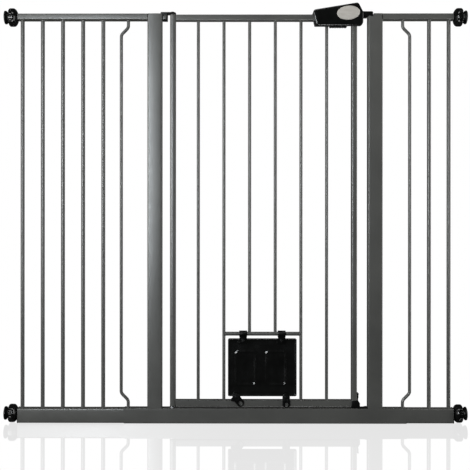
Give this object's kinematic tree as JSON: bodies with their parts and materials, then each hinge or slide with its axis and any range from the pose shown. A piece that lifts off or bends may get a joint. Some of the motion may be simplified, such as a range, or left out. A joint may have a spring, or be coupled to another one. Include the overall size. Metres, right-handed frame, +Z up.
{
  "type": "pet gate",
  "caption": "Pressure-fit barred pet gate with a swinging door, sliding latch handle, lockable cat flap, side extensions and adjustable wall feet.",
  "frame": {"origin": "middle of the bounding box on the floor, under the bottom rail", "axes": "+X across the gate from the hinge side to the latch side, +Y from front to back, +Z up"},
  "size_m": [1.175, 0.046, 1.0652],
  "materials": {
    "slate_powder_coat": "satin slate-grey powder coat",
    "black_gloss_plastic": "gloss",
    "black_matte_plastic": "semi-matt moulded",
    "zinc_steel": "zinc plated",
    "black_rubber": "matt",
    "badge_silver": "satin"
  },
  "bodies": {
    "frame": {"bottom_rail": "slate_powder_coat", "left_post": "slate_powder_coat", "right_post": "slate_powder_coat", "left_stub_rail": "slate_powder_coat", "right_stub_rail": "slate_powder_coat", "left_offset_bar": "slate_powder_coat", "right_offset_bar": "slate_powder_coat", "left_post_cap": "black_matte_plastic", "strike_insert": "black_matte_plastic", "bottom_keeper": "black_matte_plastic", "upper_hinge_lug": "slate_powder_coat", "upper_hinge_cap": "black_matte_plastic", "upper_hinge_pin": "zinc_steel", "lower_hinge_pin": "zinc_steel", "left_extension_top_rail": "slate_powder_coat", "left_extension_bottom_rail": "slate_powder_coat", "left_extension_bars": "slate_powder_coat", "right_extension_top_rail": "slate_powder_coat", "right_extension_bottom_rail": "slate_powder_coat", "right_extension_bars": "slate_powder_coat", "joining_spigots": "black_matte_plastic", "spindle_bushes": "black_matte_plastic"},
    "door": {"hinge_stile": "slate_powder_coat", "latch_stile": "slate_powder_coat", "door_top_rail": "slate_powder_coat", "door_bottom_rail": "slate_powder_coat", "door_bars_left": "slate_powder_coat", "door_short_bars": "slate_powder_coat", "door_bars_right": "slate_powder_coat", "flap_crossbar": "slate_powder_coat", "hinge_bushes": "black_matte_plastic", "bottom_catch": "black_matte_plastic", "handle_cover": "black_gloss_plastic", "handle_body": "black_gloss_plastic", "handle_badge": "badge_silver", "handle_screws": "zinc_steel", "bolt_spring": "zinc_steel"},
    "bolt": {"latch_bolt": "black_matte_plastic", "release_catch": "black_gloss_plastic"},
    "flap": {"flap_panel": "black_gloss_plastic", "flap_clips": "black_matte_plastic", "lever_pins": "black_matte_plastic"},
    "left_catch": {"left_lever": "black_matte_plastic"},
    "right_catch": {"right_lever": "black_matte_plastic"},
    "upper_left_nut": {"upper_left_hand_nut": "black_gloss_plastic"},
    "upper_left_screw_foot": {"upper_left_spindle": "zinc_steel", "upper_left_wall_cup": "black_matte_plastic", "upper_left_wall_pad": "black_rubber"},
    "lower_left_nut": {"lower_left_hand_nut": "black_gloss_plastic"},
    "lower_left_screw_foot": {"lower_left_spindle": "zinc_steel", "lower_left_wall_cup": "black_matte_plastic", "lower_left_wall_pad": "black_rubber"},
    "upper_right_nut": {"upper_right_hand_nut": "black_gloss_plastic"},
    "upper_right_screw_foot": {"upper_right_spindle": "zinc_steel", "upper_right_wall_cup": "black_matte_plastic", "upper_right_wall_pad": "black_rubber"},
    "lower_right_nut": {"lower_right_hand_nut": "black_gloss_plastic"},
    "lower_right_screw_foot": {"lower_right_spindle": "zinc_steel", "lower_right_wall_cup": "black_matte_plastic", "lower_right_wall_pad": "black_rubber"}
  },
  "joints": [
    {"name": "door_swing", "type": "hinge", "parent": "frame", "child": "door", "pos_m": [-0.1605, 0, 0.5], "axis": [0, 0, 1], "range_deg": [-90, 90]},
    {"name": "bolt_slide", "type": "slide", "parent": "door", "child": "bolt", "axis": [-1, 0, 0], "range_m": [0, 0.016], "stiffness_N_per_m": 400, "springref_m": -0.006, "deforming": ["bolt_spring"]},
    {"name": "flap_swing", "type": "hinge", "parent": "door", "child": "flap", "pos_m": [0.069, 0, 0.2263], "axis": [-1, 0, 0], "range_deg": [0, 80]},
    {"name": "left_catch_turn", "type": "hinge", "parent": "flap", "child": "left_catch", "pos_m": [0.002, -0.012, 0.067], "axis": [0, -1, 0], "range_deg": [-126, 54]},
    {"name": "right_catch_turn", "type": "hinge", "parent": "flap", "child": "right_catch", "pos_m": [0.129, -0.012, 0.067], "axis": [0, -1, 0], "range_deg": [-90, 90]},
    {"name": "upper_left_nut_turn", "type": "hinge", "parent": "frame", "child": "upper_left_nut", "pos_m": [-0.57, 0, 1.0325], "axis": [1, 0, 0], "range_deg": [0, 2880]},
    {"name": "upper_left_foot_slide", "type": "slide", "parent": "frame", "child": "upper_left_screw_foot", "axis": [-1, 0, 0], "range_m": [0, 0.0245]},
    {"name": "lower_left_nut_turn", "type": "hinge", "parent": "frame", "child": "lower_left_nut", "pos_m": [-0.57, 0, 0.0235], "axis": [1, 0, 0], "range_deg": [0, 2880]},
    {"name": "lower_left_foot_slide", "type": "slide", "parent": "frame", "child": "lower_left_screw_foot", "axis": [-1, 0, 0], "range_m": [0, 0.0245]},
    {"name": "upper_right_nut_turn", "type": "hinge", "parent": "frame", "child": "upper_right_nut", "pos_m": [0.57, 0, 1.0325], "axis": [-1, 0, 0], "range_deg": [0, 2880]},
    {"name": "upper_right_foot_slide", "type": "slide", "parent": "frame", "child": "upper_right_screw_foot", "axis": [1, 0, 0], "range_m": [0, 0.0245]},
    {"name": "lower_right_nut_turn", "type": "hinge", "parent": "frame", "child": "lower_right_nut", "pos_m": [0.57, 0, 0.0235], "axis": [-1, 0, 0], "range_deg": [0, 2880]},
    {"name": "lower_right_foot_slide", "type": "slide", "parent": "frame", "child": "lower_right_screw_foot", "axis": [1, 0, 0], "range_m": [0, 0.0245]}
  ],
  "couplings": [
    {"joint": "upper_left_foot_slide", "follows": "upper_left_nut_turn", "m_per_rad": 0.00047746},
    {"joint": "lower_left_foot_slide", "follows": "lower_left_nut_turn", "m_per_rad": 0.00047746},
    {"joint": "upper_right_foot_slide", "follows": "upper_right_nut_turn", "m_per_rad": 0.00047746},
    {"joint": "lower_right_foot_slide", "follows": "lower_right_nut_turn", "m_per_rad": 0.00047746}
  ]
}
